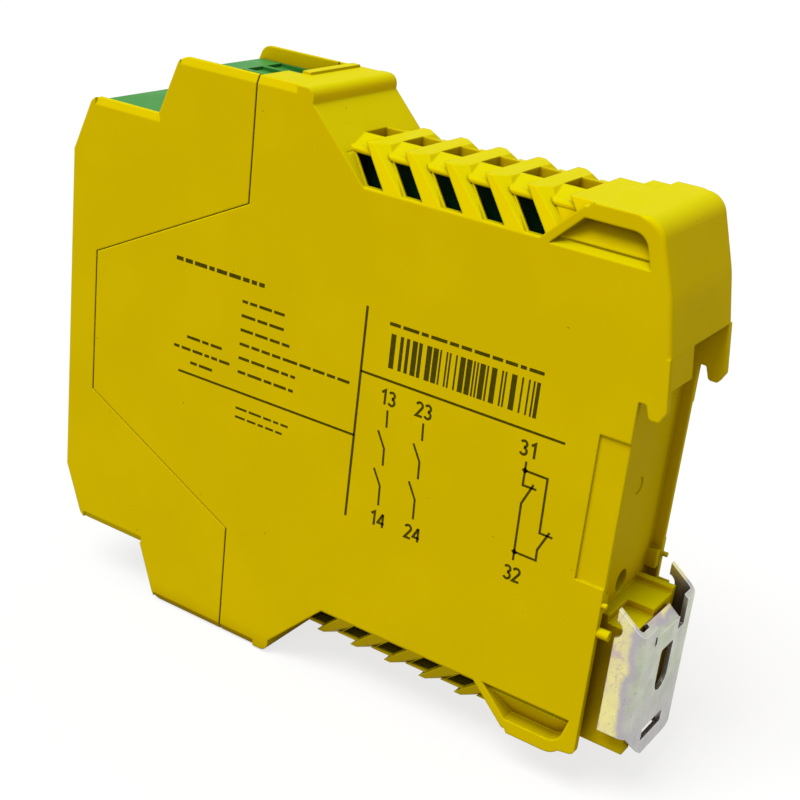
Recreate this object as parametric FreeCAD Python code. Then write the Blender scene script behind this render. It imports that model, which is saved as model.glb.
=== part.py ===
import FreeCAD, Part
import math
import os

# Safety relay in a narrow two-part moulded housing for a 35 mm mounting rail.
# Millimetres.  X is the width, Y is the depth (front face towards -Y, rail towards +Y), Z is up.
# Solids are drawn with Y measured from the front face, and save() moves them so that the origin
# is the middle of the rail seat.

V = FreeCAD.Vector

# ---------------------------------------------------------------- driving dimensions
width = 22.5                 # over both flat sides
front_half = 29.5            # half height of the flat front
inner_tier_rise = 9.6        # height of an inner terminal tier above the front
outer_tier_rise = 10.0       # height of an outer terminal tier above the inner one
rib_height = 0.4             # rib on each shoulder, which makes the full height 99 mm
shoulder_fall = 6.6          # from the outer tier down to the ventilated ledge
shoulder_drop = 2.3          # height of the shoulder's rear lip
block_rise = 0.7             # height of the rear grip block above the ledge
edge_radius = 0.8            # rounded rear edges of the grip block
small_round_sides = 18       # flats round a terminal screw and what else is small and repeated
tier_depth = 18.3            # depth at which the outer tier starts
outer_tier_length = 19.5     # from there to the joint between the housings
tier_slope = 3.9             # how far a tier's front edge leans back
seam_front = 6.0             # depth of the joint at the middle of the housing
seam_low = 12.85             # half height at the shallow end of the slanting joint
seam_lead = 0.6              # its deep end lies this far inside the front's half height
seam_gap = 0.3               # open joint between the two housings
shoulder_room = 2.4          # from the outer sockets to the rear of the shoulder
grip_length = 10.3           # from the start of a grip block to the rear wall
seat_rim = 1.9               # the side walls stand this far behind the rear wall
hook_reach = 4.3             # from the rail seat to the rear of the hooks
hook_lean = 0.9              # how far the hooks lean out below the grip block
rail_half = 17.5             # half height of the mounting rail
rail_slot = 1.2              # opening in the hook for the rail's edge
side_wall = 1.15             # flat side walls
wall = 1.5                   # front, rear and shoulder walls
ledge_wall = 1.8             # flat of the ventilated ledge
slope_wall = 1.2             # its sloping sides
bevel_height = 1.25          # bevel along the outer edges of the tiers
bevel_depth = 0.55

vent_pitch = 6.9             # spacing of the vents along the ledge
vent_count = 6
vent_lead = 1.75             # from the end of the incline to the middle of the first vent
vent_tail = 6.25             # from the middle of the last vent to the grip block
vent_length = 3.7            # size of a vent along the depth
vent_width = 5.8             # size of a top vent across the housing
slope_height = 6.2           # height of the ledge's sloping sides
slope_inset = 3.2            # how far they lean in at the top
slot_width = 3.2             # window between two posts
slot_height = 3.95
slot_sill = 0.3              # height of the sill under each window
recess_depth = 0.75          # sunk field around each window
recess_head = 1.15           # the field turns inwards this far below the top
post_chamfer = 1.9           # chamfer on the rear corner of each post's head

pocket_lead = 5.1            # finger pocket starts this far before its grip block
pocket_head = 2.3            # and ends this far below the block's top
pocket_sill = 0.25           # its lower edge lies this far below the foot of the slope
pocket_lip = 1.1             # depth at its lower edge
pocket_slope = 0.5           # how fast its floor falls away
ramp_rim = 1.65              # rim between the last vent and the pocket

plug_clearance = 0.15        # around each plug in its bay
plug_fit = 0.3               # between plugs, and between a plug and its socket
plug_drop = 2.3              # the outer plug's top lies this far below the walls
inner_plug_drop = 0.8        # the inner plug's top lies this far below the walls
pole_count = 4
pole_margin = 1.25           # from the end of the row of terminals to each flat side
socket_wall = 0.9
plug_nose = 5.6              # plug's tongue inside its socket
socket_length = 8.2
pin_size = 1.0

board_thickness = 1.6
board_inset = 6.25           # middle of each circuit board from its flat side
board_clearance = 0.3

catch_inset = 1.35           # sheet-metal foot catch, inside the flat sides
catch_sheet = 0.8
catch_gap = 2.4              # from the rail seat to the catch's flanges
catch_depth = 4.7            # depth of the flanges, which makes the full depth 114.5 mm
catch_reach = 2.3            # how far the flanges reach over the rail's lower edge
catch_ear_drop = 3.3         # the back plate's top lies this far below the flanges' top

# sizes that follow from the ones above
half_width = width / 2.0
bay_half = half_width - side_wall
tier_half = front_half + inner_tier_rise
outer_half = tier_half + outer_tier_rise
ledge_half = outer_half - shoulder_fall
block_half = ledge_half + block_rise
slope_base = ledge_half - slope_height
slope_lean = slope_inset / slope_height
seam_depth = tier_depth + outer_tier_length
seam_high = front_half - seam_lead
shoulder_depth = seam_depth + socket_length + shoulder_room
incline_sum = shoulder_depth + outer_half - shoulder_drop     # depth + height along the shoulder's incline
ledge_start = incline_sum - ledge_half
vent_first = ledge_start + vent_lead
grip_depth = vent_first + vent_pitch * (vent_count - 1) + vent_tail
rear_wall_depth = grip_depth + grip_length
rail_seat_depth = rear_wall_depth + seat_rim
hook_depth = rail_seat_depth + hook_reach
block_rear_depth = hook_depth - hook_lean
pocket_start = grip_depth - pocket_lead
pocket_top = block_half - pocket_head
pocket_low = slope_base - pocket_sill
pocket_rear = rear_wall_depth + 0.2
bevel_side = tier_slope * wall / inner_tier_rise
pole_pitch = (width - 2.0 * pole_margin) / pole_count
board_offset = half_width - board_inset
catch_half_width = half_width - catch_inset
catch_front = rail_seat_depth + catch_gap
catch_rear = catch_front + catch_depth
catch_top = catch_reach - rail_half
catch_bottom = 0.2 - block_half
mid = V(0, 0, 0)
UP = V(0, 0, 1)
ACROSS = V(1, 0, 0)
ALONG = V(0, 1, 0)


# ---------------------------------------------------------------- helpers
def box(x0, x1, y0, y1, z0, z1):
    """Box between two corners."""
    return Part.makeBox(x1 - x0, y1 - y0, z1 - z0, V(x0, y0, z0))


def rod(radius, length, start, axis):
    """Round bar from a start point along an axis."""
    return Part.makeCylinder(radius, length, start, axis)


def corner_arc(before, corner, after, radius):
    """Tangent points and middle of the arc that rounds a corner of an outline."""
    back = (before - corner).normalize()
    ahead = (after - corner).normalize()
    half_angle = back.getAngle(ahead) / 2.0
    reach = radius / math.tan(half_angle)
    bisector = (back + ahead).normalize()
    centre = corner + bisector * (radius / math.sin(half_angle))
    return corner + back * reach, centre - bisector * radius, corner + ahead * reach


def closed_face(points):
    """Flat face through (point, radius) pairs, its corners rounded where the radius is not zero."""
    edges = []
    joints = []
    count = len(points)
    for i in range(count):
        corner, radius = points[i]
        if radius > 0:
            start, middle, end = corner_arc(points[i - 1][0], corner, points[(i + 1) % count][0], radius)
            edges.append(Part.Arc(start, middle, end).toShape())
            joints.append((start, end))
        else:
            edges.append(None)
            joints.append((corner, corner))
    chain = []
    for i in range(count):
        if edges[i] is not None:
            chain.append(edges[i])
        start = joints[i][1]
        end = joints[(i + 1) % count][0]
        if start.distanceToPoint(end) > 1e-6:
            chain.append(Part.LineSegment(start, end).toShape())
    return Part.Face(Part.Wire(chain))


def side_profile(outline, x0, x1):
    """Prism across the housing of an outline of (depth, height) or (depth, height, radius) points."""
    points = []
    for point in outline:
        radius = point[2] if len(point) > 2 else 0.0
        points.append((V(x0, point[0], point[1]), radius))
    return closed_face(points).extrude(V(x1 - x0, 0, 0))


def front_profile(outline, y0, y1):
    """Prism along the depth of an outline of (x, height) or (x, height, radius) points."""
    points = []
    for point in outline:
        radius = point[2] if len(point) > 2 else 0.0
        points.append((V(point[0], y0, point[1]), radius))
    return closed_face(points).extrude(V(0, y1 - y0, 0))


def many_sided(radius, length, start):
    """Regular prism along the depth, with its corners on the radius: for small repeated rounds."""
    turn = 2.0 * math.pi / small_round_sides
    corners = []
    for i in range(small_round_sides):
        angle = turn * (i + 0.5)
        corners.append((start.x + radius * math.cos(angle), start.z + radius * math.sin(angle)))
    return front_profile(corners, start.y, start.y + length)


def joined(shapes):
    """One solid out of touching or overlapping shapes."""
    first = shapes[0]
    if len(shapes) > 1:
        first = first.multiFuse(shapes[1:]).removeSplitter()
    return first


def mirrored_z(shape):
    return shape.mirror(mid, UP)


def mirrored_x(shape):
    return shape.mirror(mid, ACROSS)


def top_and_bottom(shape):
    return [shape, mirrored_z(shape)]


def all_four(shape):
    """The shape, and its images on the other side and at the other end."""
    pair = [shape, mirrored_x(shape)]
    return pair + [mirrored_z(s) for s in pair]


def mirrored_outline(upper):
    """Closed outline from the upper half's points, listed from front to rear."""
    lower = [(p[0], -p[1]) + tuple(p[2:]) for p in reversed(upper)]
    return upper + lower


def save(name, shapes):
    """Write one node, moved so that the rail seat is the origin."""
    solids = []
    for shape in shapes:
        solids.extend(shape.Solids)
    moved = Part.makeCompound(solids) if len(solids) > 1 else solids[0]
    moved = moved.translated(V(0, -rail_seat_depth, 0))
    moved.exportStep("parts/" + name + ".step")
    print(name, len(solids), "solids", round(moved.Volume, 1), "mm3", "valid", moved.isValid())


def pole_places():
    """Middle of each terminal across the width."""
    start = -pole_pitch * (pole_count - 1) / 2.0
    return [start + pole_pitch * i for i in range(pole_count)]


# ---------------------------------------------------------------- housings

def relay_outline():
    """Upper half of the relay's side outline, without hooks and foot."""
    return [
        (0.0, front_half),
        (tier_slope, tier_half, 1.8),
        (tier_depth, tier_half),
        (tier_depth + tier_slope, outer_half, 2.0),
        (shoulder_depth, outer_half, 1.6),
        (shoulder_depth, outer_half - shoulder_drop),
        (incline_sum - ledge_half, ledge_half),
        (grip_depth, ledge_half),
        (grip_depth + 0.4, block_half),
    ]


def cavity_outline():
    """Upper half of the hollow inside the two housings."""
    inner_sum = incline_sum - wall * math.sqrt(2.0)
    top = outer_half - wall
    return [
        (wall, front_half - wall),
        (wall + bevel_side + tier_slope / 2.0, tier_half - wall),
        (tier_depth + wall, tier_half - wall),
        (tier_depth + tier_slope + wall, top),
        (inner_sum - top, top),
        (inner_sum - ledge_half + ledge_wall, ledge_half - ledge_wall),
        (pocket_start - ramp_rim, ledge_half - ledge_wall),
        (pocket_start, slope_base - wall),
        (rear_wall_depth - wall, slope_base - wall),
    ]


def seam_prism(offset, x0, x1):
    """Everything behind the joint between the housings, pushed back by an offset."""
    reach = outer_half + 10.0
    far = hook_depth + 10.0
    outline = [
        (seam_front + offset, seam_low),
        (seam_depth + offset, seam_high),
        (seam_depth + offset, reach),
        (far, reach),
    ]
    return side_profile(mirrored_outline(outline), x0, x1)


def whole_shell():
    """Closed hollow body of the relay, before it is split at the joint."""
    rear_top = [(rear_wall_depth + 0.2, block_half, 3.4), (rear_wall_depth, block_half - 5.0)]
    outline = relay_outline() + rear_top
    solid = side_profile(mirrored_outline(outline), -half_width, half_width)
    hollow = side_profile(mirrored_outline(cavity_outline()), -bay_half, bay_half)
    shell = solid.cut(Part.makeCompound([hollow] + edge_bevels()))
    fillers = all_four(ledge_filler())
    return joined([shell] + fillers)


def ledge_filler():
    """Keeps the wall thick behind the ledge's sloping side."""
    top = ledge_half - ledge_wall
    low = slope_base + (side_wall - slope_wall) / slope_lean - slope_wall
    inner = half_width - slope_wall - (top - slope_base) * slope_lean
    foot = half_width - slope_wall - (low - slope_base) * slope_lean
    outer = bay_half + 0.4
    outline = [(foot, low), (inner, top), (inner, top + 0.5), (outer, top + 0.5), (outer, low)]
    return front_profile(outline, incline_sum - top, pocket_start)


def ledge_region(x0, x1):
    """The ledge in side view: from the shoulder's incline to the ramp of the grip block."""
    over = ledge_half + 3.0
    ramp = pocket_start - ramp_rim
    outline = [
        (incline_sum - slope_base, slope_base),
        (ramp, slope_base),
        (ramp + over - slope_base, over),
        (incline_sum - over, over),
    ]
    return side_profile(outline, x0, x1)


def slope_x(height):
    """Half width on the ledge's sloping side at a height."""
    return half_width - (height - slope_base) * slope_lean


vent_span = (ledge_start - 4.0, grip_depth + 4.0)
head_height = ledge_half - recess_head


def outside_slope():
    """Everything outside the ledge's sloping side."""
    top = ledge_half + 3.0
    out = half_width + 1.0
    outline = [(half_width, slope_base), (slope_x(top), top), (out, top), (out, slope_base)]
    return front_profile(outline, *vent_span)


def outside_fields():
    """Everything outside the sunk fields, which turn inwards above the windows to meet the top vents."""
    top = ledge_half + 3.0
    out = half_width + 1.0
    outline = [
        (half_width - recess_depth, slope_base),
        (slope_x(head_height) - recess_depth, head_height),
        (vent_width / 2.0, ledge_half),
        (vent_width / 2.0, top),
        (out, top),
        (out, slope_base),
    ]
    return front_profile(outline, *vent_span)


def leaning_slot(middle, size, low, high, x0, x1):
    """Prism leaning at 45 degrees like the shoulder's incline; its middle is given at the slope's foot."""
    start = middle - (low - slope_base)
    end = middle - (high - slope_base)
    half = size / 2.0
    outline = [(start - half, low), (start + half, low), (end + half, high), (end - half, high)]
    return side_profile(outline, x0, x1)


def slot_places():
    """Depth of each side window's middle line at the foot of the ledge's slope."""
    first = vent_first + slope_height
    return [first + vent_pitch * i for i in range(vent_count)]


def head_chamfer(place):
    """Wedge off the rear corner of the post in front of a vent, deepest at the top."""
    edge = place - vent_length / 2.0
    over = 1.0 + slope_height
    plan = [
        V(half_width, edge + 0.05, slope_base),
        V(half_width + 4.0, edge + 0.05, slope_base),
        V(half_width + 4.0, edge - 4.0, slope_base),
    ]
    face = closed_face([(corner, 0.0) for corner in plan])
    return face.extrude(V(-(slope_inset + post_chamfer) * over / slope_height, -over, over))


def vent_cuts():
    """Sloping sides, sunk fields, side windows and chamfered posts of one corner of the ledges."""
    inner = vent_width / 2.0 - 0.5
    outer = half_width + 1.0
    region = ledge_region(inner, outer)
    fields = outside_fields()
    low = slope_base + slot_sill
    cuts = [region.common(outside_slope())]
    places = slot_places()
    for place in places:
        field = leaning_slot(place, vent_length, low, ledge_half + 2.0, inner, outer)
        cuts.append(field.common(fields).common(region))
    for place in places[:-1]:
        window = leaning_slot(place, slot_width, low, low + slot_height, inner, outer)
        cuts.append(window.common(region))
    for place in places[1:]:
        cuts.append(head_chamfer(place).common(region))
    return cuts


def vent_bars():
    """Small bars across the heads of the sunk fields."""
    x = slope_x(head_height) - recess_depth
    section = [
        (x - 0.7, head_height + 0.15),
        (x - 0.1, head_height + 0.2),
        (x + 0.4, head_height - 0.2),
        (x + 0.45, head_height - 0.65),
        (x - 0.2, head_height - 0.75),
    ]
    band = front_profile(section, *vent_span)
    bars = []
    for place in slot_places():
        low = head_height - 1.5
        high = head_height + 1.0
        across = leaning_slot(place, vent_length + 0.3, low, high, 0.0, half_width)
        bars.append(band.common(across))
    return bars


def top_vents():
    """Openings through the flat of one ledge."""
    cuts = []
    for i in range(vent_count):
        middle = vent_first + vent_pitch * i
        start = max(middle - vent_length / 2.0, ledge_start)
        cuts.append(box(-vent_width / 2.0, vent_width / 2.0, start, middle + vent_length / 2.0,
                        ledge_half - ledge_wall - 1.0, ledge_half + 1.0))
    return cuts


def finger_pocket():
    """Grip pocket in the side of a rear block: narrow lip, then a floor that falls away towards the top."""
    ramp = pocket_top - pocket_low
    outline = [
        (pocket_start, pocket_low),
        (pocket_start + ramp, pocket_top),
        (pocket_rear - 1.4, pocket_top, 2.6),
        (pocket_rear, pocket_low),
    ]
    area = side_profile(outline, half_width - 4.5, half_width + 1.0)
    step = half_width - 0.7 * pocket_lip
    floor = [
        (half_width, pocket_low),
        (half_width - pocket_lip, pocket_low + 0.9),
        (step, pocket_low + 1.2),
        (step - (pocket_top - pocket_low) * pocket_slope, pocket_top + 1.0),
        (half_width + 2.0, pocket_top + 1.0),
        (half_width + 2.0, pocket_low),
    ]
    return area.common(front_profile(floor, pocket_start - 1.0, pocket_rear + 1.0))


hook_top = rail_half + 7.3
block_foot = slope_base - wall


def grip_overhang():
    """Upper rear block that leans back over the rail, its rear edges rounded."""
    start = pocket_rear - 8.0
    outline = [
        (start, block_half),
        (rear_wall_depth + 0.6, block_half, 3.4),
        (block_rear_depth - 1.4, hook_top + 7.7, 20.0),
        (block_rear_depth, hook_top),
        (rear_wall_depth - 1.0, hook_top),
        (rear_wall_depth - 1.0, block_foot),
        (start, block_foot),
    ]
    solid = side_profile(outline, -half_width, half_width)
    rear_edges = []
    for edge in solid.Edges:
        middle = edge.BoundBox.Center
        flat = edge.BoundBox.XLength < 0.01
        if flat and middle.y > rear_wall_depth + 0.5 and edge.BoundBox.ZMax > hook_top + 0.5:
            rear_edges.append(edge)
    solid = solid.makeFillet(edge_radius, rear_edges)
    high = block_half - 9.0
    inner = block_rear_depth - wall
    pocket = [
        (rear_wall_depth, rail_half),
        (rear_wall_depth, high),
        (inner - 2.5, high),
        (inner, hook_top),
        (inner, rail_half),
    ]
    return solid.cut(side_profile(pocket, -bay_half, bay_half))


def block_step():
    """The grip block's raised top starts further back beside the left flat side."""
    return box(-half_width - 1.0, -4.7, grip_depth - 1.0, grip_depth + 3.3, ledge_half, block_half + 1.0)


def rail_side(x0, x1):
    """Rear strip of a side wall: rail seat, and the hook that takes the rail's upper edge."""
    tip = rail_half - 2.1
    outline = [
        (rear_wall_depth - wall, hook_top),
        (block_rear_depth, hook_top),
        (hook_depth, rail_half - 0.4, 0.5),
        (hook_depth - 0.9, tip, 0.5),
        (rail_seat_depth + rail_slot + 0.7, tip, 0.6),
        (rail_seat_depth + rail_slot, rail_half, 0.3),
        (rail_seat_depth, rail_half),
        (rail_seat_depth, -block_half + 1.6, 1.0),
        (rear_wall_depth - wall, -block_half + 1.0),
    ]
    return side_profile(outline, x0, x1)


def rear_apron():
    """Lower lip of the grip block's rear wall on one half of the width."""
    top = hook_top + 0.1
    low = rail_half + 2.5
    outline = [
        (block_rear_depth - wall, top),
        (block_rear_depth, top),
        (block_rear_depth + (hook_depth - block_rear_depth) * 0.65, low),
        (block_rear_depth - wall + 0.6, low),
    ]
    return side_profile(outline, 3.0, half_width - side_wall / 2.0)


foot_top = -rail_half - 1.0
foot_bottom = 2.4 - block_half
foot_rear = catch_rear - catch_sheet - 0.3
foot_face = foot_rear - 1.6                    # rear of the guide between its two runners
foot_half = half_width - 4.05
runner_width = 2.6
runner_top = foot_top - 6.2


def foot_block():
    """Stepped guide on the rear wall that the foot catch slides on."""
    start = rear_wall_depth - 0.5
    body = box(-foot_half, foot_half, start, foot_face, foot_bottom, foot_top)
    runner = box(foot_half - runner_width, foot_half, start, foot_rear, foot_bottom, runner_top)
    edge = box(-foot_half, -foot_half + 1.2, start, foot_face, foot_top - 0.2, foot_top + 0.9)
    step = box(0.6, foot_half + 1.0, start + 2.4, foot_rear + 1.0, foot_top - 1.3, foot_top + 1.0)
    slot = box(-2.4, 2.4, start + 2.0, foot_rear + 1.0, foot_bottom + 4.0, runner_top + 0.6)
    return joined([body, edge, runner, mirrored_x(runner)]).cut(Part.makeCompound([step, slot]))


def catch_stops():
    """Studs on the rear edges of the side walls in front of the catch, and a lug inside each."""
    reach = catch_gap - 0.5
    studs = []
    for height, radius, part in ((-rail_half - 2.4, 0.8, 1.0), (-rail_half + 2.4, 0.4, 0.45)):
        for side in (-1, 1):
            start = V(side * (half_width - radius), rail_seat_depth - 0.6, height)
            studs.append(rod(radius, reach * part + 0.6, start, ALONG))
    inner = half_width - side_wall
    front = rail_seat_depth - 3.4
    lug = box(inner - 1.4, inner + 0.3, front, rail_seat_depth - 0.1, -rail_half + 0.4, -rail_half + 3.5)
    return studs + [lug, mirrored_x(lug)]


def lower_housing():
    """Rear housing: box with shoulders, ventilated ledges, grip blocks, rail seat and hooks."""
    body = whole_shell().common(seam_prism(0.0, -half_width, half_width))
    additions = [grip_overhang(), rear_apron(), foot_block()]
    additions.append(rail_side(-half_width, -bay_half))
    additions.append(rail_side(bay_half, half_width))
    body = joined([body] + additions + catch_stops())
    cuts = []
    for shape in vent_cuts() + [finger_pocket()]:
        cuts.extend(all_four(shape))
    for shape in top_vents() + [shoulder_notch(), block_step()]:
        cuts.extend(top_and_bottom(shape))
    cuts.extend(side_recesses())
    cuts.append(rod(1.9, wall + 1.0, V(0, rear_wall_depth - wall - 0.5, -rail_half + 1.2), ALONG))
    cuts.append(rod(1.4, 1.0, V(0, rear_wall_depth - 0.2, 0), ALONG))
    body = body.cut(Part.makeCompound(cuts))
    bars = []
    for bar in vent_bars():
        bars.extend(all_four(bar))
    return joined([body] + bars + top_and_bottom(shoulder_rib()))


def shoulder_notch():
    """The shoulder's front edge steps back over most of its width."""
    return box(-bay_half, 3.7, seam_depth - 1.0, seam_depth + 2.4, outer_half - wall - 0.5, outer_half + 1.0)


def shoulder_rib():
    """Low rib along the stepped-back edge."""
    start = seam_depth + 2.4
    return box(-bay_half, 3.3, start, start + 1.6, outer_half - 0.3, outer_half + rib_height)


def side_recesses():
    """Shallow sunk fields beside the rail seat."""
    start = rail_seat_depth - 4.8
    field = box(half_width - 0.35, half_width + 1.0, start, rail_seat_depth + 1.0, -12.4, 11.0)
    return [field, mirrored_x(field)]


bay_floor = front_half - 0.1
plug_top = tier_half - inner_plug_drop
outer_floor = plug_top + plug_fit / 2.0
tier_wall = 1.2


def tier_bays():
    """Room for the plugs of one end, open to the front and to the outside."""
    inner = box(-bay_half, bay_half, -1.0, tier_depth + 0.05, bay_floor, tier_half + 2.0)
    outer = box(-bay_half, bay_half, -1.0, seam_depth + 1.0, outer_floor, outer_half + 2.0)
    return [inner, outer]


def tier_walls():
    """Floors under the two plugs of one end."""
    reach = bay_half + 0.2
    behind = tier_depth + socket_length
    inner = box(-reach, reach, 0.2, behind + wall, bay_floor - wall, bay_floor)
    outer = box(-reach, reach, tier_depth, seam_depth - seam_gap, outer_floor - tier_wall, outer_floor)
    back = box(-reach, reach, behind, behind + wall, bay_floor - 0.2, bay_floor + 1.0)
    return [inner, outer, back]


cover_half_height = 20.6
cover_half_width = half_width - 1.85
cover_thickness = 1.0
light_heights = (12.5, 7.5, 2.5)
light_radius = 1.5


def upper_housing():
    """Front housing: side walls of the plug bays, front wall, bay floors."""
    ahead = whole_shell().cut(seam_prism(-seam_gap, -half_width - 1.0, half_width + 1.0))
    cuts = []
    walls = []
    for shape in tier_bays():
        cuts.extend(top_and_bottom(shape))
    for shape in tier_walls():
        walls.extend(top_and_bottom(shape))
    cuts.append(box(-cover_half_width - 0.1, cover_half_width + 0.1, -1.0, cover_thickness,
                    -cover_half_height - 0.1, cover_half_height + 0.1))
    for height in light_heights:
        cuts.append(rod(light_radius + 0.1, wall + 2.0, V(0, -1, height), ALONG))
    return joined([ahead.cut(Part.makeCompound(cuts))] + walls)


def edge_bevels():
    """Bevels along the outer edges of the tiers and the shoulder, on both flat sides."""
    cuts = []
    runs = ((tier_slope + 0.6, tier_depth + 0.3, tier_half),
            (tier_depth + tier_slope, shoulder_depth - 3.2, outer_half))
    for start, end, top in runs:
        outline = [
            (half_width - bevel_depth, top + 0.01),
            (half_width + 0.01, top - bevel_height),
            (half_width + 1.0, top - bevel_height),
            (half_width + 1.0, top + 0.01),
        ]
        cuts.extend(all_four(front_profile(outline, start, end)))
    return cuts


# ---------------------------------------------------------------- front
def front_cover():
    """Snap-in plate of the front, with holes for the three status lights."""
    half = cover_half_width
    plate = box(-half, half, 0.0, cover_thickness, -cover_half_height, cover_half_height)
    holes = [rod(light_radius + 0.1, 3.0, V(0, -1, h), ALONG) for h in light_heights]
    return plate.cut(Part.makeCompound(holes))


def status_light(height):
    """Light pipe from the board's edge to the front."""
    dome = rod(light_radius, board_front - board_clearance - 0.1, V(0, 0.1, height), ALONG)
    foot_y = board_front - board_clearance
    foot = box(-board_offset - 0.6, 1.0, foot_y - 1.2, foot_y, height - 0.9, height + 0.9)
    return joined([dome, foot])


# ---------------------------------------------------------------- plugs
def plug_sizes(tier):
    """Front, rear, floor and top of a plug: tier 0 is the inner one, tier 1 the outer one."""
    if tier == 0:
        return 0.35, tier_depth - 0.1, bay_floor + plug_fit / 2.0, plug_top
    return tier_depth + 0.35, seam_depth - 0.1, outer_floor + plug_fit / 2.0, outer_half - plug_drop


plug_half = bay_half - plug_clearance
nose_half = plug_half - socket_wall - plug_fit / 2.0
entry_width = 3.3
entry_height = 2.9
entry_rise = 0.7
screw_radius = 1.5
screw_clearance = 0.3
chamber_front = 8.6
chamber_length = 5.2
cage_gap = 0.05


def plug_body(tier):
    """Green plug: leaning front with wire entries and screw holes, tongue at the rear."""
    front, rear, floor, top = plug_sizes(tier)
    lean = tier_slope * (top - floor) / (tier_half - front_half)
    outline = [(front, floor), (front + lean, top), (rear, top), (rear, floor)]
    body = side_profile(outline, -plug_half, plug_half)
    nose = box(-nose_half, nose_half, rear - 0.5, rear + plug_nose,
               floor + socket_wall + plug_fit, top - socket_wall - plug_fit)
    body = joined([body, nose])
    cuts = []
    for x in pole_places():
        entry = floor + entry_rise
        screw = screw_height(tier)
        cuts.append(box(x - entry_width / 2.0, x + entry_width / 2.0, front - 1.0, front + chamber_front,
                        entry, entry + entry_height))
        bore_radius = (screw_radius + screw_clearance) / math.cos(math.pi / small_round_sides)
        cuts.append(many_sided(bore_radius, chamber_front + 1.0, V(x, front - 1.0, screw)))
        chamber = front + chamber_front
        cuts.append(box(x - 1.85, x + 1.85, chamber - 0.2, chamber + chamber_length, entry, top - 1.0))
        cuts.append(box(x - 0.9, x + 0.9, rear + 0.6, rear + plug_nose + 1.0,
                        pin_height(tier) - 0.9, pin_height(tier) + 0.9))
    if tier == 1:
        cuts.extend(top_cells(front, rear, top))
    return body.cut(Part.makeCompound(cuts))


def top_cells(front, rear, top):
    """Four deep cells in the outer plug's top, with floors that slope down to the rear."""
    cells = []
    start = front + tier_slope + 3.8
    for x in pole_places():
        outline = [
            (start, top + 1.0),
            (start, top - 0.5),
            (start + 2.6, top - 0.7),
            (rear + 1.0, top - 0.85),
            (rear + 1.0, top + 1.0),
        ]
        cells.append(side_profile(outline, x - 2.0, x + 2.0))
    return cells


def screw_height(tier):
    front, rear, floor, top = plug_sizes(tier)
    return top - 1.0 - screw_radius - 0.35


def pin_height(tier):
    front, rear, floor, top = plug_sizes(tier)
    return (floor + top) / 2.0


def clamp_screws(tier):
    """Slotted screws of one plug, each down to the face of its cage."""
    front, rear, floor, top = plug_sizes(tier)
    height = screw_height(tier)
    start = front + tier_slope + 1.0
    end = front + chamber_front + cage_gap
    screws = []
    for x in pole_places():
        screw = many_sided(screw_radius, end - start, V(x, start, height))
        slot = box(x - 0.25, x + 0.25, start - 0.5, start + 0.7, height - 2.0, height + 2.0)
        screws.append(screw.cut(slot))
    return screws


def clamp_cages(tier):
    """Wire cages of one plug, each with a window towards its wire entry."""
    front, rear, floor, top = plug_sizes(tier)
    low = floor + entry_rise + 0.15
    start = front + chamber_front + cage_gap
    cages = []
    for x in pole_places():
        end = start + chamber_length
        outer = box(x - 1.7, x + 1.7, start, end - 0.4, low, top - 1.2)
        window = box(x - 1.1, x + 1.1, start - 1.0, end, low + 0.6, low + entry_height - 0.4)
        cages.append(outer.cut(window))
    return cages


# ---------------------------------------------------------------- sockets and pins
def socket(tier):
    """Green shroud on the board side that takes a plug's tongue."""
    front, rear, floor, top = plug_sizes(tier)
    start = rear + 0.1
    high = top if tier == 1 else top - 1.2
    body = box(-plug_half, plug_half, start, start + socket_length, floor - plug_fit / 2.0, high)
    room = nose_half + plug_fit / 2.0
    end = start + plug_nose + 0.2
    pocket = box(-room, room, start - 1.0, end, floor + socket_wall, top - socket_wall)
    holes = [pin_rod(tier, x) for x in pole_places()]
    return body.cut(Part.makeCompound([pocket] + holes))


def pin_end(tier):
    """Depth at which the straight part of a tier's pins ends, behind the socket."""
    return plug_sizes(tier)[1] + socket_length + 1.5


def pin_rod(tier, x):
    """Straight part of a contact pin."""
    start = plug_sizes(tier)[1] + 1.6
    height = pin_height(tier)
    half = pin_size / 2.0
    return box(x - half, x + half, start, pin_end(tier), height - half, height + half)


def contact_pins(tier):
    """Pins of one socket, each with a tail bent to the nearer board."""
    half = pin_size / 2.0
    height = pin_height(tier)
    end = pin_end(tier)
    pins = []
    for x in pole_places():
        side = 1 if x > 0 else -1
        outward = 1 if abs(x) > board_offset else -1
        face = side * (board_offset + outward * board_thickness / 2.0)
        tail = box(min(x, face), max(x, face), end - pin_size, end, height - half, height + half)
        pins.append(joined([pin_rod(tier, x), tail]))
    return pins


# ---------------------------------------------------------------- electronics
board_front = 6.6
board_rear = rear_wall_depth - wall - board_clearance
board_half = ledge_half - ledge_wall - board_clearance


def board(side):
    """Circuit board, standing parallel to the flat sides."""
    inner_sum = incline_sum - wall * math.sqrt(2.0) - board_clearance * math.sqrt(2.0)
    behind_inner = tier_depth + socket_length + wall + board_clearance
    behind_outer = seam_depth + socket_length + board_clearance
    low_tier = outer_floor - tier_wall - board_clearance
    high = inner_sum - behind_outer - 1.6
    outline = [
        (board_front, seam_low + 3.0),
        (behind_inner, seam_low + 3.0),
        (behind_inner, low_tier),
        (behind_outer, low_tier),
        (behind_outer, high),
        (inner_sum - high, high),
        (inner_sum - board_half, board_half),
        (pocket_start - ramp_rim - board_clearance, board_half),
        (pocket_start - board_clearance, slope_base - wall - board_clearance),
        (board_rear, slope_base - wall - board_clearance),
    ]
    x = side * board_offset
    return side_profile(mirrored_outline(outline), x - board_thickness / 2.0, x + board_thickness / 2.0)


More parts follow.
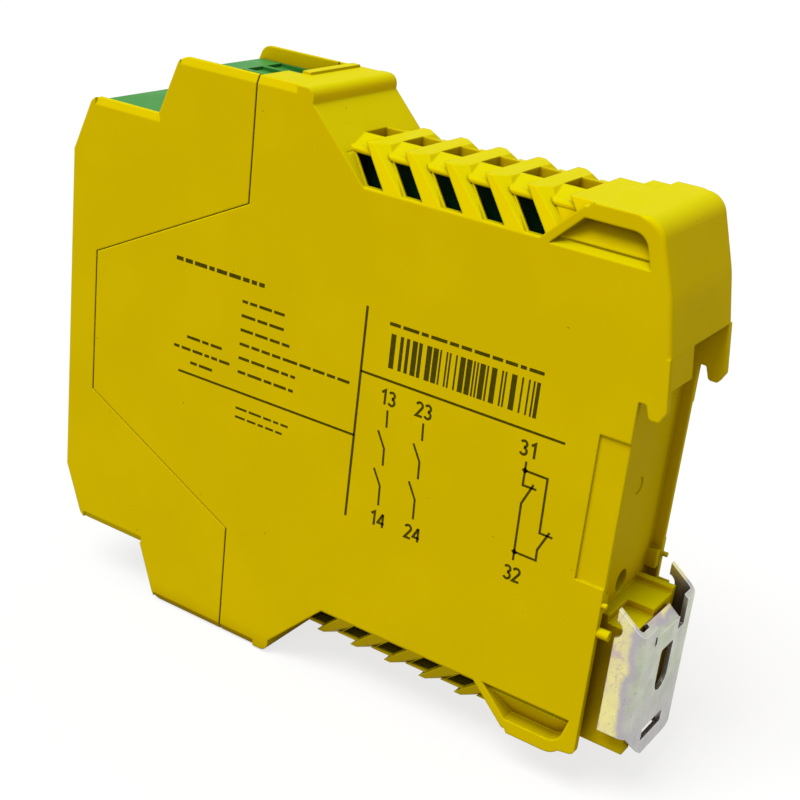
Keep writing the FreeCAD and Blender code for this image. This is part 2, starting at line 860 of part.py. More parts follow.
component_gap = 2.0 * board_offset - board_thickness
relay_start = shoulder_depth + 13.6
relay_length = 29.0
relay_height = 16.0
relay_lows = (4.0, -20.0)
can_setback = 6.2
can_start = seam_depth + can_setback
can_length = 14.0
can_heights = (22.0, 12.0)
can_radius = component_gap / 2.0 - 0.4
fuse_setback = 2.0
fuse_start = can_start + fuse_setback
fuse_height = -14.0
fuse_length = 10.0
fuse_clearance = 3.2
fuse_radius = (component_gap - fuse_clearance) / 2.0
link_setback = 9.5
link_start = rear_wall_depth - link_setback
link_depth = 2.5
link_height = 24.0
chip_thickness = 1.6
chip_places = ((2.0, 10.0, 12.0, 9.0), (2.0, -18.0, 10.0, 8.0), (22.0, -4.0, 8.0, 8.0))


def relay_can(low):
    """Sealed force-guided relay between the boards, on its wider base."""
    half = component_gap / 2.0
    rim = 0.6
    end = relay_start + relay_length
    high = low + relay_height
    body = box(-half + 0.2, half, relay_start, end, low, high)
    base = box(half - 1.2, half, relay_start - rim, end + rim, low - rim, high + rim)
    return joined([body, base])


def capacitors():
    """Two electrolytic capacitors lying between the boards."""
    x = component_gap / 2.0 - can_radius
    return [many_sided(can_radius, can_length, V(x, can_start, height)) for height in can_heights]


def board_link():
    """Pin strip that joins the two boards."""
    half = component_gap / 2.0
    return box(-half, half, link_start, link_start + link_depth, -link_height / 2.0, link_height / 2.0)


def fuse():
    """Tube fuse lying on the first board."""
    x = component_gap / 2.0 - fuse_radius
    return many_sided(fuse_radius, fuse_length, V(x, fuse_start, fuse_height))


def control_chips():
    """Surface-mounted chips on the outer face of the first board."""
    x = board_offset + board_thickness / 2.0
    chips = []
    for after, low, length, height in chip_places:
        start = relay_start + after
        chips.append(box(x, x + chip_thickness, start, start + length, low, low + height))
    return chips


# ---------------------------------------------------------------- foot catch
catch_fold = 1.3             # outer radius of the folds
flange_low = catch_bottom + 6.6
plate_top = catch_top - catch_ear_drop
tongue_half = 4.1
tongue_slots = (0.9, 2.4)    # widths of the cuts on the two sides of the tongue
slot_half = 2.3              # long slot for a screwdriver blade
slot_centre = -0.9


def catch_channel():
    """Back plate and two flanges, folded from one sheet."""
    outside = catch_half_width
    inside = outside - catch_sheet
    back = catch_rear - catch_sheet
    bend = catch_fold - catch_sheet
    outline = [
        (-outside, catch_front, 0.0),
        (-outside, catch_rear, catch_fold),
        (outside, catch_rear, catch_fold),
        (outside, catch_front, 0.0),
        (inside, catch_front, 0.0),
        (inside, back, bend),
        (-inside, back, bend),
        (-inside, catch_front, 0.0),
    ]
    points = [(V(x, y, catch_bottom), radius) for x, y, radius in outline]
    return closed_face(points).extrude(V(0, 0, catch_top - catch_bottom))


def foot_catch():
    """Folded sheet-metal catch: back plate, two flanges, inward tongue, pull slot."""
    outside = catch_half_width
    reach = outside + 1.0
    ahead = catch_front - 1.0
    behind = catch_rear + 1.0
    flange_tops = side_profile([
        (ahead, catch_top + 0.8),
        (behind, plate_top - 0.9),
        (behind, catch_top + 3.0),
        (ahead, catch_top + 3.0),
    ], -reach, reach)
    flange_ends = side_profile([
        (ahead, flange_low),
        (catch_rear - 1.0, flange_low - 0.4),
        (catch_rear - 1.0, catch_bottom - 1.0),
        (ahead, catch_bottom - 1.0),
    ], -reach, reach)
    rail_notch = rod(1.5, 2.0 * reach, V(-reach, catch_front - 0.4, catch_top - 3.4), ACROSS)
    plate_corners = front_profile([
        (reach, flange_low),
        (outside - 0.6, flange_low),
        (1.8, catch_bottom),
        (-outside - 0.1, catch_bottom, 3.2),
        (-outside - 0.1, catch_bottom + 4.0),
        (-reach, catch_bottom + 4.0),
        (-reach, catch_bottom - 2.0),
        (reach, catch_bottom - 2.0),
    ], ahead, behind)
    start = catch_rear - 3.0
    left = tongue_half + tongue_slots[0]
    right = -tongue_half - tongue_slots[1]
    beside_left = box(tongue_half, left, start, behind, plate_top - 3.6, catch_top)
    beside_right = box(right, -tongue_half, start, behind, plate_top - 4.6, catch_top)
    above = box(right, left, start, behind, plate_top - 2.2, catch_top)
    long_slot = front_profile([
        (slot_centre - slot_half, plate_top - 5.8, 0.6),
        (slot_centre + slot_half, plate_top - 5.8, 0.6),
        (slot_centre + slot_half, plate_top - 13.8, slot_half - 0.05),
        (slot_centre - slot_half, plate_top - 13.8, slot_half - 0.05),
    ], start, behind)
    pull_slot = box(-4.6, 3.0, start, behind, catch_bottom + 2.9, catch_bottom + 5.2)
    cuts = [flange_tops, flange_ends, rail_notch, plate_corners, beside_left, beside_right, above]
    body = catch_channel().cut(Part.makeCompound(cuts + [long_slot, pull_slot]))
    return joined([body, catch_tongue(plate_top - 2.2)])


def catch_tongue(top):
    """Centre tongue of the back plate, bent inwards at its upper end."""
    inside = catch_rear - catch_sheet
    outline = [
        (inside, top - 0.9),
        (catch_rear, top - 0.9),
        (catch_rear, top - 0.2),
        (inside - 1.3, top + 1.5),
        (inside - 1.9, top + 1.0),
        (inside, top - 0.6),
    ]
    return side_profile(outline, -tongue_half, tongue_half)


# ---------------------------------------------------------------- build
def main():
    os.makedirs("parts", exist_ok=True)
    save("lower_housing", [lower_housing()])
    save("upper_housing", [upper_housing()])
    save("front_cover", [front_cover()])
    for name, height in zip(("power_light", "channel_1_light", "channel_2_light"), light_heights):
        save(name, [status_light(height)])
    for tier, level in ((0, "inner"), (1, "outer")):
        for end, turn in (("top", False), ("bottom", True)):
            groups = {
                "plug": [plug_body(tier)],
                "clamp_screws": clamp_screws(tier),
                "clamp_cages": clamp_cages(tier),
                "socket": [socket(tier)],
                "contact_pins": contact_pins(tier),
            }
            for kind, shapes in groups.items():
                placed = [mirrored_z(s) for s in shapes] if turn else shapes
                save(kind + "_" + level + "_" + end, placed)
    save("power_board", [board(1)])
    save("logic_board", [board(-1)])
    save("safety_relay_1", [relay_can(relay_lows[0])])
    save("safety_relay_2", [relay_can(relay_lows[1])])
    save("capacitors", capacitors())
    save("fuse", [fuse()])
    save("board_link", [board_link()])
    save("control_chips", control_chips())
    save("foot_catch", [foot_catch()])


main()
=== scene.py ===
# %% [markdown]
# # Safety relay module for a mounting rail
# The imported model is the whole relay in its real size: housing, terminals, contacts, boards
# and the sprung foot catch. This script gives every piece its finish and adds the printing.
# The frame is in metres, +Z up, with the origin in the middle of the rail seat.

# %% Frame
import math

import bpy
import numpy as np
from mathutils import Matrix, Vector


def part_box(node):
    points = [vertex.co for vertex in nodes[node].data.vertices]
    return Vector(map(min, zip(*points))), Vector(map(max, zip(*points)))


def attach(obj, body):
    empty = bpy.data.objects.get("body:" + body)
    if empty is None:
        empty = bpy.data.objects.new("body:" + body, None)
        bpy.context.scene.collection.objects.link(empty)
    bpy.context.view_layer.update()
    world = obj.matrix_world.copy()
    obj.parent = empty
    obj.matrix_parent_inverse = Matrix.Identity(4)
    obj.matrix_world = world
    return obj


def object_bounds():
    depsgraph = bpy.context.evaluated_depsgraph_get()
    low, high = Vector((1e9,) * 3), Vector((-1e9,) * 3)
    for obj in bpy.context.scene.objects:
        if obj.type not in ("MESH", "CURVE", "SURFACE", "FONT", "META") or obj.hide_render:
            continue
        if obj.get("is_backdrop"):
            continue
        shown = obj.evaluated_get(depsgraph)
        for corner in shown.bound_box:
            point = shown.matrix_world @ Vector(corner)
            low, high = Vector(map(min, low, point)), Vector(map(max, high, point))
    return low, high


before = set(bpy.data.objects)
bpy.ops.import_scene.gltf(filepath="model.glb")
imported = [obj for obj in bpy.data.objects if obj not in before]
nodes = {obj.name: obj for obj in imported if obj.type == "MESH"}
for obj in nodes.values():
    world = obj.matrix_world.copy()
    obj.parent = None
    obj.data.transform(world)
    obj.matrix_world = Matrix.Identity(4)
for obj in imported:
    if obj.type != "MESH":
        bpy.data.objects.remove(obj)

scene = bpy.context.scene
low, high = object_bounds()

# %% [markdown]
# ## Helpers
# Colours are written as the sRGB hex of the plain surface in plain light, and one function
# turns them into the linear values that the shaders work with. Patterns are given by the
# real size of what repeats, in millimetres, because the texture space is in metres.

# %% Helpers
MM = 0.001


def colour(hexa):
    """Linear RGBA of an sRGB hex: ((c + 0.055) / 1.055) ^ 2.4, or c / 12.92 near black."""
    c = np.array([int(hexa[i : i + 2], 16) / 255 for i in (0, 2, 4)])
    linear = np.where(c > 0.04045, ((c + 0.055) / 1.055) ** 2.4, c / 12.92)
    return (*linear.tolist(), 1.0)


def per(mm):
    """Texture scale for a pattern whose features are this many millimetres across."""
    return 1 / (mm * MM)


def add(tree, kind, inputs=None, **settings):
    """Adds a shader node. An input is a plain value, or the socket that feeds it."""
    made = tree.nodes.new("ShaderNode" + kind)
    for name, value in settings.items():
        setattr(made, name, value)
    for key, value in (inputs or {}).items():
        if isinstance(value, bpy.types.NodeSocket):
            tree.links.new(value, made.inputs[key])
        else:
            made.inputs[key].default_value = value
    return made


def new_material(name):
    """An empty node material, with its texture space in metres on the part itself."""
    made = bpy.data.materials.new(name)
    made.use_nodes = True
    made.node_tree.nodes.clear()
    place = add(made.node_tree, "TexCoord").outputs["Object"]
    return made, made.node_tree, place


def noise(tree, place, mm, detail=2.0, **inputs):
    """Noise whose blotches are about this many millimetres across, from 0 to 1."""
    values = {"Vector": place, "Scale": per(mm), "Detail": detail, **inputs}
    return add(tree, "TexNoise", values).outputs["Fac"]


def ranged(tree, value, from_low, from_high, to_low, to_high):
    """The value stretched from one range to another, and held at the ends."""
    return add(tree, "MapRange", {
        "Value": value, "From Min": from_low, "From Max": from_high,
        "To Min": to_low, "To Max": to_high}).outputs["Result"]


def mixed(tree, factor, first, second, blend="MIX"):
    """Two colours mixed by a factor; each is an sRGB hex or a colour socket."""
    node = add(tree, "Mix", data_type="RGBA", blend_type=blend)
    for index, value in ((0, factor), (6, first), (7, second)):
        if isinstance(value, bpy.types.NodeSocket):
            tree.links.new(value, node.inputs[index])
        else:
            node.inputs[index].default_value = colour(value) if isinstance(value, str) else value
    return node.outputs[2]


def hollow_shade_share(tree, mm, share):
    """Share of a painted shade colour: full where walls within this distance hide all but a seventh
    of the sky, and none where four fifths of it are open."""
    open_sky = add(tree, "AmbientOcclusion", {"Distance": mm * MM}, samples=6).outputs["AO"]
    return ranged(tree, open_sky, 0.15, 0.8, share, 0.0)


def blotched(tree, place, mm, first, second):
    """Two colours that change into each other in soft blotches of about this many millimetres."""
    return mixed(tree, ranged(tree, noise(tree, place, mm, 3.0), 0.35, 0.65, 0.0, 1.0), first, second)


def rounded(tree, mm, samples=6):
    """Normal that turns smoothly over every corner, as if it had this radius."""
    return add(tree, "Bevel", {"Radius": mm * MM}, samples=samples).outputs[0]


def edge_light_share(tree, normal, flat, share):
    """Share of a painted edge highlight colour: grows as the dot product of rounded and true normal falls
    below flat.
    """
    true_normal = add(tree, "NewGeometry").outputs["Normal"]
    across = add(tree, "VectorMath", {0: normal, 1: true_normal}, operation="DOT_PRODUCT")
    return ranged(tree, across.outputs["Value"], flat, 0.86, 0.0, share)


def grained(tree, place, mm, detail, strength, height, normal):
    """Normal of a fine grain laid over another normal; its size and height are in millimetres."""
    grains = noise(tree, place, mm, detail)
    return add(tree, "Bump", {
        "Height": grains, "Strength": strength, "Distance": height * MM, "Normal": normal}).outputs[0]


def finished(tree, shader):
    """Sends the shader to the material's output."""
    add(tree, "OutputMaterial", {"Surface": shader.outputs[0]})


print("helpers ready")

# %% [markdown]
# ## Camera
# The relay is seen from behind and above its right-hand side, so that the rail foot, the
# metal catch and the printed side show together. The camera is close, as for a small part,
# and is rolled by a few degrees.

# %% Camera
eye = Vector((0.19222, 0.06986, 0.09409))
aim = Vector((0.0, -0.04481, 0.0))
roll = math.radians(6.69)
ahead = (aim - eye).normalized()
level = ahead.cross(Vector((0, 0, 1))).normalized()
upright = level.cross(ahead)
right = level * math.cos(roll) + upright * math.sin(roll)
up = upright * math.cos(roll) - level * math.sin(roll)
turn = Matrix((right, up, -ahead)).transposed().to_4x4()
lens = bpy.data.cameras.new("camera")
lens.lens = 67.2
lens.sensor_width = 36.0
lens.clip_start = 0.01
camera = bpy.data.objects.new("camera", lens)
camera.matrix_world = Matrix.Translation(eye) @ turn
scene.collection.objects.link(camera)
scene.camera = camera
print("camera", round((aim - eye).length * 1000), "mm away")

# %% [markdown]
# ## Light and floor
# One wide soft box above and a little to the right gives the bright tops and the calm side,
# and an even surround fills what faces away. The floor is pale, and its lit parts come out
# white, so that the part stands on a plain ground with only its own soft shadow.

# %% Light and floor
scene.view_settings.view_transform = "Standard"
world = bpy.data.worlds.new("surround")
world.use_nodes = True
world.node_tree.nodes.clear()


def larger(tree, first, second):
    """The larger of two values."""
    return add(tree, "Math", {0: first, 1: second}, operation="MAXIMUM").outputs[0]


def shown_rays(tree):
    """1 for the rays that see the background: from the camera, from gloss and through clear resin."""
    rays = add(tree, "LightPath").outputs
    bent = larger(tree, rays["Is Glossy Ray"], rays["Is Transmission Ray"])
    return larger(tree, rays["Is Camera Ray"], bent)


seen = shown_rays(world.node_tree)
fill = add(world.node_tree, "Background", {"Color": (1.0, 0.97, 0.92, 1.0), "Strength": 0.5})
plain = add(world.node_tree, "Background", {"Color": colour("FFFFFF"), "Strength": 1.0})
sky = add(world.node_tree, "MixShader", {0: seen, 1: fill.outputs[0], 2: plain.outputs[0]})
add(world.node_tree, "OutputWorld", {"Surface": sky.outputs[0]})
scene.world = world

toward_key = Vector((0.36, -0.14, 0.70)).normalized()
key_light = bpy.data.lights.new("soft_box", "SUN")
key_light.energy = 2.5
key_light.angle = math.radians(35)
key = bpy.data.objects.new("soft_box", key_light)
key.rotation_euler = toward_key.to_track_quat("Z", "Y").to_euler()
scene.collection.objects.link(key)

floor_mesh = bpy.data.meshes.new("floor")
reach = 6.0
corners = [(x * reach, y * reach, low.z) for x, y in ((-1, -1), (1, -1), (1, 1), (-1, 1))]
floor_mesh.from_pydata(corners, [], [(0, 1, 2, 3)])
floor = bpy.data.objects.new("floor", floor_mesh)
scene.collection.objects.link(floor)
floor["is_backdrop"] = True
pale, tree, _ = new_material("pale_floor")
path = shown_rays(tree)
matt = add(tree, "BsdfDiffuse", {"Color": mixed(tree, path, "949494", "F8F8F8")})
white = add(tree, "Emission", {"Color": colour("FFFFFF"), "Strength": 1.0})
glow = 0.75                  # share of plain white in what the eye sees of the floor
shown = add(tree, "Math", {0: path, 1: glow}, operation="MULTIPLY")
finished(tree, add(tree, "MixShader", {0: shown.outputs[0], 1: matt.outputs[0], 2: white.outputs[0]}))
floor_mesh.materials.append(pale)
print("floor at", round(low.z * 1000, 2), "mm")

# %% [markdown]
# ## Moulded plastics
# The housing is a yellow glass-filled polyamide with the fine spark-eroded grain of its
# mould. The grain scatters the light, so the faces look satin and not glossy. Pale clouds
# come from the flow of the melt, a few dark specks from handling. Every moulded corner has
# a small radius in the shading normal, and a painted highlight of brighter yellow along it
# makes the thin bright line. Hollows get a painted shade, deeper and warmer, that stands in
# for the light bounced on the plastic, and faces that lie upwards get a painted lemon tone of
# the bright top light. All of it is made in the shader from noise, from the rounded normal,
# from occlusion and from the facing, so that the imported meshes stay as they are.

# %% Moulded plastics
def moulded(name, base, cloud, roughness=0.45, grain=0.3, corner=0.22, specks=0.0, painted_edge_light=0.0,
            specular=0.12, sheen="FFFFFF", painted_hollow_shade=None, painted_hollow_share=0.8, painted_top_light=None):
    """Satin moulded plastic with mould grain and rounded corners. If asked, it gets specks, a painted
    highlight on the edges, a painted shade in hollows, and a painted greener tone of the top light
    on the faces that lie upwards. Grain and corner are in millimetres."""
    made, tree, place = new_material(name)
    shade = blotched(tree, place, 14.0, base, cloud)
    # painted light: faces that lie upwards get a greener lemon tone, as the bright top light gives them
    if painted_top_light:
        true_normal = add(tree, "NewGeometry").outputs["Normal"]
        facing_up = add(tree, "SeparateXYZ", {"Vector": true_normal}).outputs["Z"]
        shade = mixed(tree, ranged(tree, facing_up, 0.25, 0.9, 0.0, 1.0), shade, painted_top_light)
    if painted_hollow_shade:
        # painted shade: a deeper, warmer colour in hollows, for the light they lose and the light bounced on
        # the plastic
        shade = mixed(tree, hollow_shade_share(tree, 7.0, painted_hollow_share), shade, painted_hollow_shade)
    soft_normal = rounded(tree, corner)
    if painted_edge_light:
        # painted highlight: a brighter yellow along the rounded corners, where they catch the light
        shade = mixed(tree, edge_light_share(tree, soft_normal, 0.995, painted_edge_light), shade, "FFF400")
    if specks:
        dots = add(tree, "TexVoronoi", {"Vector": place, "Scale": per(2.6), "Randomness": 1.0})
        few = ranged(tree, noise(tree, place, 5.0, 0.0), 0.56, 0.68, 0.0, specks)
        dot = ranged(tree, dots.outputs["Distance"], 0.035, 0.055, 1.0, 0.0)
        here = add(tree, "Math", {0: dot, 1: few}, operation="MULTIPLY").outputs[0]
        shade = mixed(tree, here, shade, "5A4300")
    gloss = ranged(tree, noise(tree, place, 6.0, 2.0), 0.3, 0.7, roughness - 0.05, roughness + 0.05)
    finished(tree, add(tree, "BsdfPrincipled", {
        "Base Color": shade, "Roughness": gloss,
        "Normal": grained(tree, place, grain, 2.0, 0.25, 0.012, soft_normal),
        "Specular IOR Level": specular, "Specular Tint": colour(sheen)}))
    return made


finishes = {
    # dyed glass-filled polyamide from an eroded mould: satin, with a painted warm shade in the hollows and a
    # painted lemon top light
    "housing": moulded("yellow_polyamide", "DCBF00", "E0C400", 0.5, corner=0.4, specks=0.8, painted_edge_light=0.35,
                       specular=0.01, sheen="FFE040", painted_hollow_shade="6E3400", painted_hollow_share=0.78, painted_top_light="D6CC00"),
    # the same resin from a smoother mould: a little glossier and cleaner, with the same painted edge
    # highlight, painted hollow shade and painted top light
    "cover": moulded("yellow_cover", "DCBF00", "E1C502", roughness=0.38, corner=0.3, painted_edge_light=0.3,
                     specular=0.012, sheen="FFE040", painted_hollow_shade="6E3400", painted_hollow_share=0.7, painted_top_light="D6CC00"),
    # dyed polyamide of the terminals: mid green, with a painted shade near black in the screw and wire holes
    "terminal_green": moulded("green_polyamide", "3C8A39", "459342", grain=0.35, specular=0.05,
                              sheen="C0FFC0", painted_hollow_shade="0E4A1C", painted_hollow_share=0.85),
    # undyed flame-proof polyester of the relay cans: chalky off-white
    "relay_case": moulded("relay_case", "E6E4DA", "DEDCD2", roughness=0.4),
    # epoxy and phenolic mouldings: matt, nearly black
    "black_plastic": moulded("black_plastic", "1C1D1E", "232425", roughness=0.5),
}
print("plastics:", sorted(finishes))

# %% [markdown]
# ## Metals
# Screws and clamps are plated steel and the pins are tinned copper. They are tumbled in a
# barrel, which leaves a satin grey with no direction, so a fine noise makes the grain. One
# function makes every plated surface, and takes the colour as a function of its own.

# %% Metals
def plated(name, shade_of, corner, samples, grain, strength, height, metallic, gloss_low, gloss_high):
    """Plated metal: shade_of(tree, place, soft_normal) gives its colour, and its gloss wanders by blotches.
    Corner, grain and height are in millimetres."""
    made, tree, place = new_material(name)
    soft_normal = rounded(tree, corner, samples)
    gloss = ranged(tree, noise(tree, place, 2.0, 3.0), 0.3, 0.7, gloss_low, gloss_high)
    finished(tree, add(tree, "BsdfPrincipled", {
        "Base Color": shade_of(tree, place, soft_normal), "Roughness": gloss, "Metallic": metallic,
        "Normal": grained(tree, place, grain, 3.0, strength, height, soft_normal)}))
    return made


def small_metal(name, base, tint, roughness):
    """Small plated part: two close greys in blotches, and a fine even grain."""
    def shade_of(tree, place, soft_normal):
        return blotched(tree, place, 4.0, base, tint)
    return plated(name, shade_of, 0.12, 6, 0.25, 0.2, 0.008, 0.85, roughness - 0.06, roughness + 0.08)


metals = {
    "screw_steel": small_metal("zinc_screw", "D8D8D2", "C6C6C0", 0.32),    # zinc plated: cool and satin
    "cage_metal": small_metal("clamp_steel", "D2D2CC", "BEBEB6", 0.36),    # stamped: duller
    "tinned_pin": small_metal("tinned_copper", "DADAD6", "CFCFC8", 0.28),  # tinned: palest and smoothest
}
finishes.update(metals)
print("metals:", sorted(metals))

# %% [markdown]
# ## The catch's film
# The catch is punched from steel strip, bent, zinc plated and passivated. The film is a few
# tenths of a micron thick, and its colour is the thickness: straw on the flanges, lilac
# where the sheet was bent and the bath drained slowly, and a greenish grey on the flat back.
# So the colour follows the place across the fold, and soft blotches break it up. The punched
# edges get a painted white highlight, which also stands for their bare metal, and the hollows
# between the flanges get a painted dark brown shade.

# %% The catch's film
catch_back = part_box("foot_catch")[1][1]
catch_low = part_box("foot_catch")[0][2]


def film_colours(tree, place, soft_normal):
    """Film colour by the distance in front of the back plate, with blotches, a painted shade in hollows and
    painted bright edges.
    """
    axes = add(tree, "SeparateXYZ", {"Vector": place}).outputs
    waves = noise(tree, place, 3.5, 2.0)
    shift = ranged(tree, waves, 0.3, 0.7, -0.7 * MM, 0.7 * MM)
    depth = add(tree, "Math", {0: axes["Y"], 1: shift}, operation="ADD").outputs[0]
    straw = mixed(tree, ranged(tree, noise(tree, place, 4.0, 3.0), 0.4, 0.62, 0.0, 1.0), "F0E79A", "E2D9A4")
    blot = ranged(tree, noise(tree, place, 3.0, 3.0, Distortion=1.2), 0.52, 0.62, 0.0, 0.75)
    straw = mixed(tree, blot, straw, "CDB5B8")
    clouds = ranged(tree, noise(tree, place, 6.0, 2.0), 0.35, 0.65, 0.0, 1.0)
    back = mixed(tree, clouds, "B9C5A4", "D2D4C4")
    low_part = ranged(tree, axes["Z"], catch_low + 4 * MM, catch_low + 15 * MM, 0.75, 0.0)
    back = mixed(tree, low_part, back, "C2BDC4")
    lilac = ranged(tree, depth, catch_back - 2.3 * MM, catch_back - 1.5 * MM, 0.0, 1.0)
    flat = ranged(tree, depth, catch_back - 1.0 * MM, catch_back + 0.1 * MM, 0.0, 1.0)
    shade = mixed(tree, flat, mixed(tree, lilac, straw, "B8B2B7"), back)
    # painted shade: dark brown where the flanges and the housing hide the light
    shade = mixed(tree, hollow_shade_share(tree, 9.0, 0.95), shade, "4A3508")
    spots = ranged(tree, noise(tree, place, 0.4, 2.0), 0.62, 0.7, 0.0, 0.45)
    shade = mixed(tree, spots, shade, "8B8B80")
    # painted highlight: white along the punched edges, also standing for their bare metal
    return mixed(tree, edge_light_share(tree, soft_normal, 0.99, 0.9), shade, "FFFFFF")


# passivated strip: less bare metal shows than on the screws, so it is less metallic and softer
finishes["plated_sheet"] = plated("passivated_steel", film_colours, 0.16, 8, 0.3, 0.3, 0.01, 0.7, 0.3, 0.45)

# %% [markdown]
# ## Electronics
# The circuit boards are green lacquered glass laminate, with a painted shade that makes them almost black
# deep between the vents.
# The capacitors wear dark shrunk sleeves, the fuse is a white glazed tube, and the status
# lights are diffusing resin with a faint green tint. All are smooth and closed surfaces, so
# the function for moulded plastic makes them too. Then each slot gets its finish by name.

# %% Electronics
# green lacquer, with a painted shade that turns it near black where the housing hides it
finishes["board"] = moulded("board_lacquer", "174A29", "1B5230", roughness=0.35, grain=0.5, corner=0.05,
                            specular=0.06, painted_hollow_shade="020A04", painted_hollow_share=0.97)
finishes["capacitor_can"] = moulded("capacitor_sleeve", "20242C", "282C35", roughness=0.35)
finishes["fuse_tube"] = moulded("fuse_ceramic", "E8E4D8", "DEDACE", roughness=0.3)
finishes["lens"] = moulded("lens_resin", "C2DDBB", "D0E6CA", roughness=0.2, corner=0.1)

dressed = []
for node in nodes.values():
    for slot in node.material_slots:
        key = slot.material.name.split(".")[0]
        if key in finishes:
            slot.material = finishes[key]
            dressed.append(key)
print(len(dressed), "slots of", len(nodes), "nodes dressed in", len(set(dressed)), "finishes")

# %% [markdown]
# ## Side print
# The right-hand side is pad printed with dark ink: the terminal numbers, the contact symbols
# and the lines that divide the fields. Each line is a ribbon of even width with mitred
# bends, laid a hair's breadth off the face as an ink film is, and the digits are single
# strokes. What names a maker or a model is left out: plain dashes hold the place of the
# small rows, and a band of bars holds the place of the marking. The front has a dash beside
# each light and a line below. Places are (depth from the front face, height) in millimetres.

# %% Side print
film = 0.012 * MM            # the ink stands this far off the face
front_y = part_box("front_cover")[0][1]
side_x = high.x + film


def on_side(points):
    """Row-frame corners of (depth, height) points in millimetres on the right-hand side's ink film."""
    p = np.asarray(points, float)
    return np.column_stack([np.full(len(p), side_x), front_y + p[:, 0] * MM, p[:, 1] * MM])


def on_front(points):
    """Row-frame corners of (across, height) points in millimetres on the front face's ink film."""
    p = np.asarray(points, float)
    return np.column_stack([p[:, 0] * MM, np.full(len(p), front_y - film), p[:, 1] * MM])


def ribbon(path, width):
    """Corners and faces of a line of even width along a path of (depth, height) points.
    An inner point moves by the mitre (n0 + n1) / (1 + n0.n1), so both edges stay parallel to the path."""
    p = np.array(path, float)
    along = np.diff(p, axis=0)
    along /= np.linalg.norm(along, axis=1)[:, None]
    n = np.column_stack([-along[:, 1], along[:, 0]])
    bend = (n[:-1] + n[1:]) / (1 + np.sum(n[:-1] * n[1:], axis=1))[:, None]
    offset = np.vstack([n[:1], bend, n[-1:]]) * width / 2
    corners = np.vstack([p - offset, p + offset])
    i = np.arange(len(p) - 1)
    faces = np.column_stack([i, i + 1, i + 1 + len(p), i + len(p)])
    return corners, faces


def printed(name, strips, place_on=on_side):
    """One ink film made of many ribbons, riding on the housing."""
    corners, faces, count = [], [], 0
    for path, width in strips:
        c, f = ribbon(path, width)
        corners.append(c)
        faces.append(f + count)
        count += len(c)
    mesh = bpy.data.meshes.new(name)
    mesh.from_pydata(place_on(np.vstack(corners)).tolist(), [], np.vstack(faces).tolist())
    print_piece = bpy.data.objects.new(name, mesh)
    scene.collection.objects.link(print_piece)
    mesh.materials.append(ink)
    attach(print_piece, "housing")


def arc(x, y, radius, start, end, count=14):
    """Points of an arc about (x, y): (x + r cos t, y + r sin t), with t from start to end in degrees."""
    t = np.radians(np.linspace(start, end, count))
    return np.column_stack([x + radius * np.cos(t), y + radius * np.sin(t)])


# Single-stroke digits in a cell 0.5 wide and 1 high, as a pad-printing plate is engraved.
strokes = {
    "1": [np.array([(0.12, 0.78), (0.38, 0.97), (0.38, 0.0)])],
    "2": [np.vstack([arc(0.26, 0.75, 0.215, 165, -38), [(0.05, 0.06), (0.5, 0.06)]])],
    "3": [arc(0.25, 0.755, 0.2, 155, -90), arc(0.25, 0.29, 0.225, 90, -155)],
    "4": [np.array([(0.4, 0.0), (0.4, 0.98)]), np.array([(0.38, 0.96), (0.04, 0.28), (0.52, 0.28)])],
}


def numbered(labels, size, line):
    """Ribbons for rows of digits, each row centred on its (depth, height)."""
    strips = []
    pitch = 0.63 * size
    gap = 0.15               # the share of a pitch that is empty after the last digit
    for text, depth, height in labels:
        first = depth - (len(text) - gap) * pitch / 2
        for i, digit in enumerate(text):
            corner = (first + i * pitch, height - size / 2)
            strips += [((path * size + corner).tolist(), line) for path in strokes[digit]]
    return strips


# Two-part printing ink: matt, a brown black that is thinner and lets the yellow through in places.
ink, tree, place = new_material("print_ink")
thin = ranged(tree, noise(tree, place, 0.5, 3.0), 0.3, 0.75, 0.0, 0.35)
finished(tree, add(tree, "BsdfPrincipled", {
    "Base Color": mixed(tree, thin, "463F00", "6E6200"), "Roughness": 0.6, "Specular IOR Level": 0.03}))

rules = [
    ([(25.2, -3.2), (61.7, -3.0)], 0.4),
    ([(61.7, 18.7), (61.6, -17.3)], 0.45),
    ([(61.7, 8.0), (97.6, 7.8)], 0.4),
]
printed("print_rules", rules)

symbol_line = 0.38           # width of the lines of a symbol
arm = 2.7                    # height of a contact's leaning arm
break_gap = 0.9              # space between a contact and the next


def open_contact(depth, top):
    """Two make contacts in series: a lead, then twice a leaning arm and its lead."""
    parts = [[(depth, top), (depth + 0.15, top - 2.9)]]
    start = top - 2.9 - break_gap
    for lead in (2.9, 3.4):
        foot = start - arm
        parts.append([(depth - 1.3, start), (depth + 0.15, foot), (depth + 0.25, foot - lead)])
        start = foot - lead - break_gap
    return parts


# The last symbol is two break contacts side by side, joined at both ends.
left, right_arm = 91.95, 95.75
joints = ((left, 1.55), (left + 0.3, -11.95))
break_contacts = [
    [(left, 3.0), (left, -0.85), (left + 2.3, -0.85)],
    [(left + 1.75, -0.2), (left + 0.2, -3.8), (left + 0.3, -13.4)],
    [joints[0], (right_arm, 1.5), (right_arm + 0.1, -7.4), (right_arm + 2.3, -7.45)],
    [(right_arm + 1.7, -6.75), (right_arm + 0.15, -10.2), (right_arm + 0.2, -12.0), joints[1]],
]
paths = open_contact(67.3, 3.1) + open_contact(73.9, 3.1) + break_contacts
symbols = [(path, symbol_line) for path in paths]
dot_reach, dot_width = 0.28, 0.8
symbols += [([(x - dot_reach, z - dot_reach), (x + dot_reach, z + dot_reach)], dot_width) for x, z in joints]
printed("print_symbols", symbols)

labels = [
    ("13", 67.1, 5.1), ("23", 73.7, 5.1), ("14", 67.6, -15.7), ("24", 74.3, -15.7),
    ("31", 92.0, 5.0), ("32", 92.4, -15.7),
]
digit_height, digit_line = 2.45, 0.42
printed("print_numbers", numbered(labels, digit_height, digit_line))

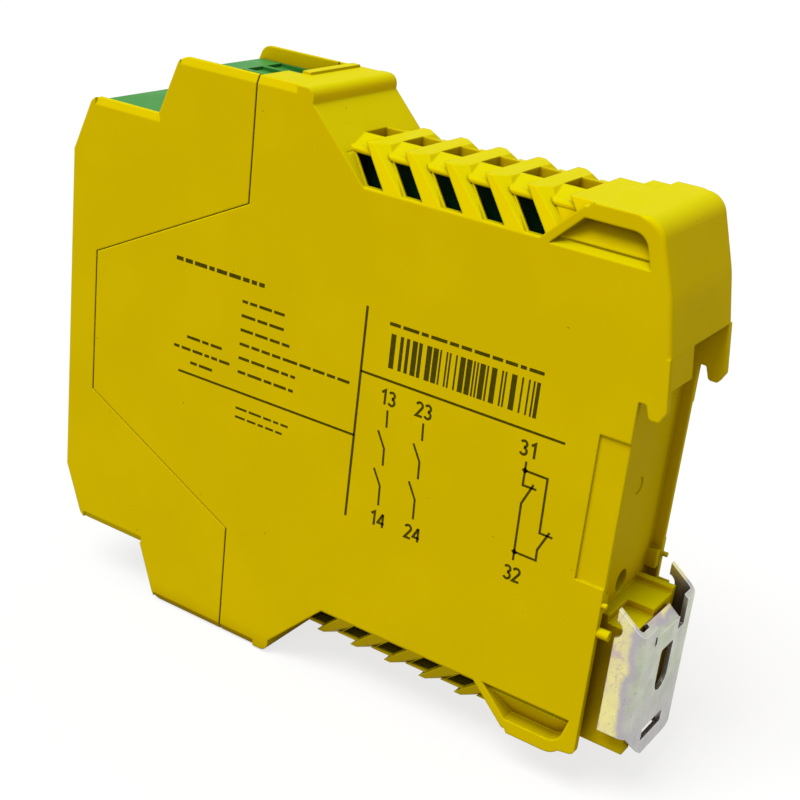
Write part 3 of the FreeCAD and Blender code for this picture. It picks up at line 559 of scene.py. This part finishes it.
# A bar's width and the gap after it are drawn by chance, as wide bars are rarer than thin ones.
bars_start, bars_length, bars_low, bars_top = 65.7, 27.2, 10.0, 15.6
rng = np.random.default_rng(7)
widths = rng.choice([0.3, 0.3, 0.6, 0.9], 34)
gaps = rng.choice([0.26, 0.26, 0.5, 0.8], 34)
ends = np.cumsum(widths + gaps)
middles = bars_start + ends - widths / 2
kept = ends < bars_length
bars = [([(x, bars_low), (x, bars_top)], width) for x, width in zip(middles[kept], widths[kept])]
printed("print_bars", bars)


def dashes(start, height, end, width, seed):
    """A row of dashes of uneven length, the place holder of a line of small type."""
    space, shortest = 0.45, 0.8
    steps = np.random.default_rng(seed).uniform(1.4, 3.4, 20)
    edges = start + np.cumsum(steps)
    begins = np.concatenate([[start], edges[:-1]])
    shown = begins < end - shortest
    stops = np.minimum(edges - space, end)
    return [([(first, height), (last, height)], width) for first, last in zip(begins[shown], stops[shown])]


rows = dashes(66.0, 17.1, 93.0, 0.55, 1) + dashes(23.6, 16.4, 42.0, 0.7, 2)
for i, end in enumerate((47.3, 47.2, 47.8, 59.8, 49.4, 49.2)):
    rows += dashes(37.8, 12.7 - 2.45 * i, end, 0.5, 3 + i)
for i, (start, end) in enumerate(((26.7, 34.2), (24.0, 36.0), (27.7, 32.7))):
    rows += dashes(start, 3.3 - 2.2 * i, end, 0.5, 10 + i)
rows += dashes(37.9, -6.0, 48.8, 0.4, 15) + dashes(37.9, -7.6, 47.7, 0.4, 16)
printed("print_rows", rows)

lights = ("power_light", "channel_1_light", "channel_2_light")
levels = [(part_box(name)[0][2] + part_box(name)[1][2]) / 2 / MM for name in lights]
beside = [([(2.6, z), (6.4 - i % 2, z)], 0.5) for i, z in enumerate(levels)]
line_below = ([(-6.5, -18.0), (6.5, -18.0)], 0.3)
printed("print_front", beside + [line_below], on_front)
print("print:", len(bars), "bars,", len(rows), "dashes,", len(symbols), "symbol lines")

# %% [markdown]
# The box of the dressed part is printed. It differs from the box of the imported solids by
# the ink at most, which is a hundredth of a millimetre thick.

low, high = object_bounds()
print("visual box, mm:", [[round(v * 1000, 2) for v in corner] for corner in (low, high)])
